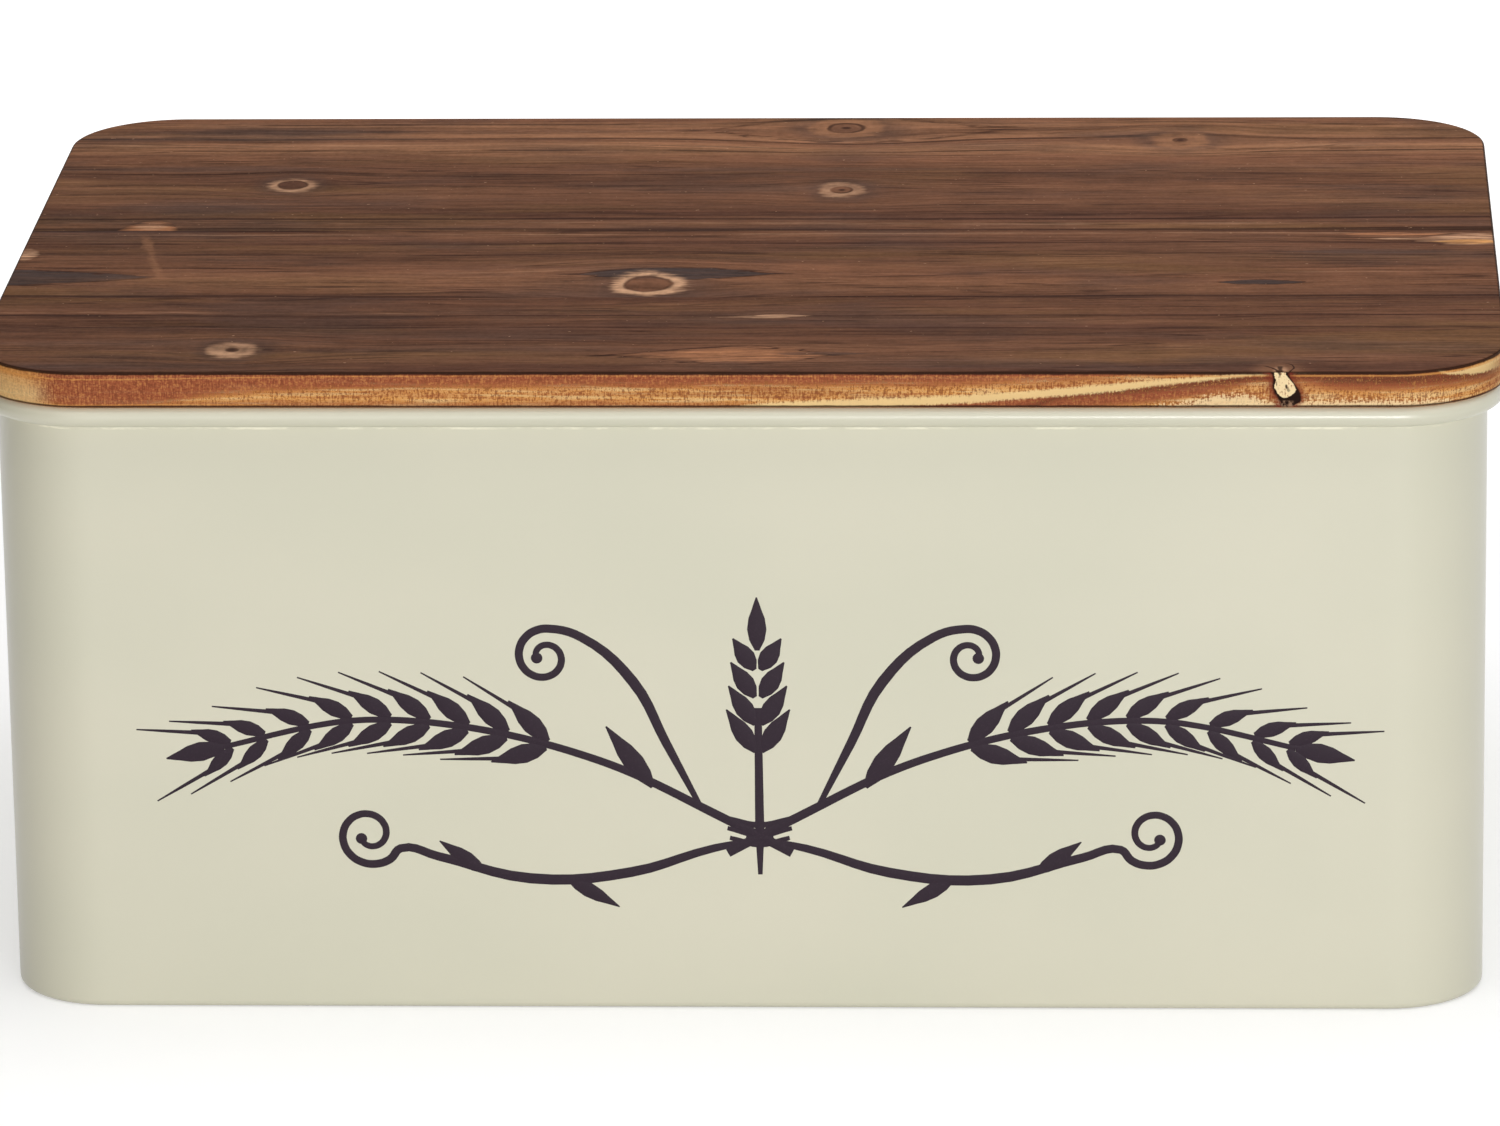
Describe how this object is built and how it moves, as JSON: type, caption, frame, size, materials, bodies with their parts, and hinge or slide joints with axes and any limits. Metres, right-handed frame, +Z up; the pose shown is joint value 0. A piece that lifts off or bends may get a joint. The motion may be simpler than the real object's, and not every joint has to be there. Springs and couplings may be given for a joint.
{
  "type": "bread box",
  "caption": "Rounded rectangular sheet steel bread box with a curled rim and a flat lift-off lid of glued wooden boards on two battens.",
  "frame": {"origin": "centre of the footprint, on the surface the box stands on", "axes": "+X along the length, +Y towards the back, +Z up"},
  "size_m": [0.33, 0.22, 0.1455],
  "materials": {
    "cream_enamel": "satin powder coat, cream with a faint sage tint",
    "scorched_fir": "scorched and brushed softwood, satin oil",
    "plain_fir": "lightly scorched softwood, bare",
    "zinc_steel": "bright zinc plate"
  },
  "bodies": {
    "box": {"body_wall": "cream_enamel", "base_panel": "cream_enamel"},
    "lid": {"lid_stave_front": "scorched_fir", "lid_stave_middle": "scorched_fir", "lid_stave_back": "scorched_fir", "lid_batten_left": "plain_fir", "lid_batten_right": "plain_fir", "lid_screw_left_front": "zinc_steel", "lid_screw_left_middle": "zinc_steel", "lid_screw_left_back": "zinc_steel", "lid_screw_right_front": "zinc_steel", "lid_screw_right_middle": "zinc_steel", "lid_screw_right_back": "zinc_steel"}
  },
  "joints": [
    {"name": "lid_lift", "type": "slide", "parent": "box", "child": "lid", "axis": [0, 0, 1], "range_m": [0, 0.16]}
  ]
}
